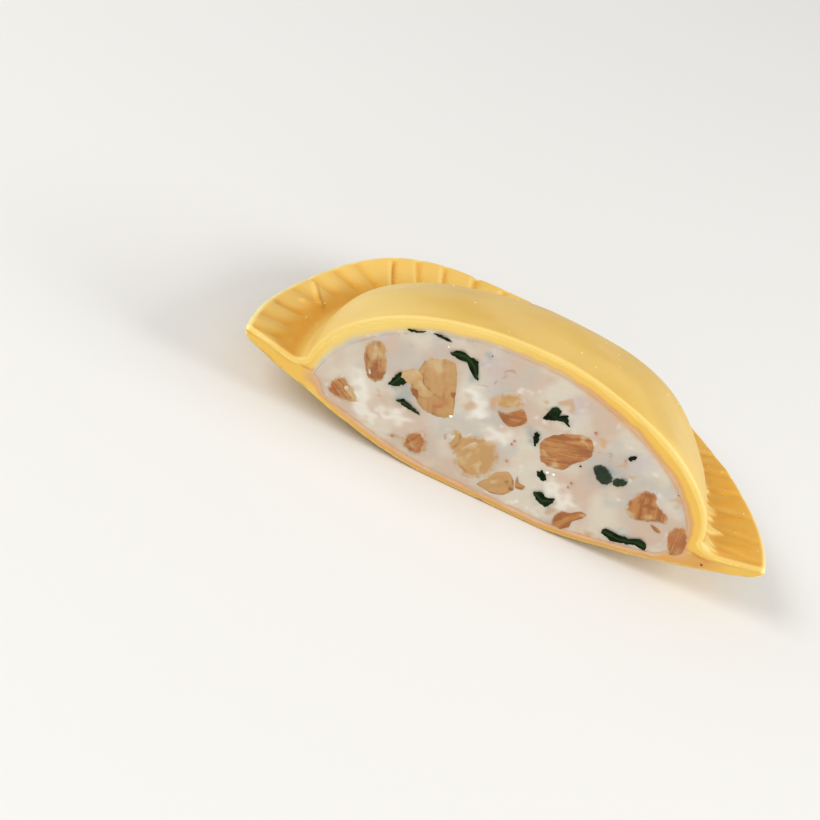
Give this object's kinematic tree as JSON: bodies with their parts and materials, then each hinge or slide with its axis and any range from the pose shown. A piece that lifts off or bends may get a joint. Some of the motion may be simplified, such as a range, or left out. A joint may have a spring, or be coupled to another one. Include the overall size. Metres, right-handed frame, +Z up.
{
  "type": "ravioli",
  "caption": "Half of a large round stuffed raviolo with a crimped edge, cut across the middle to show a creamy filling with mushroom pieces and herbs.",
  "frame": {"origin": "middle of the bounding box, on the surface that the flat spot of the belly rests on", "axes": "+X along the cut, the cut face looks to -Y, the crimped rim curves round to +Y, +Z up"},
  "size_m": [0.0706, 0.0346, 0.0239],
  "materials": {
    "pasta": "moist satin egg pasta",
    "filling": "moist cream cheese filling",
    "mushroom": "moist cooked mushroom"
  },
  "bodies": {
    "root": {"pasta_top": "pasta", "pasta_bottom": "pasta", "filling": "filling", "mushroom_1": "mushroom", "mushroom_2": "mushroom", "mushroom_3": "mushroom", "mushroom_4": "mushroom", "mushroom_5": "mushroom", "mushroom_6": "mushroom", "mushroom_7": "mushroom", "mushroom_8": "mushroom", "mushroom_9": "mushroom", "mushroom_10": "mushroom", "mushroom_11": "mushroom"}
  },
  "joints": []
}
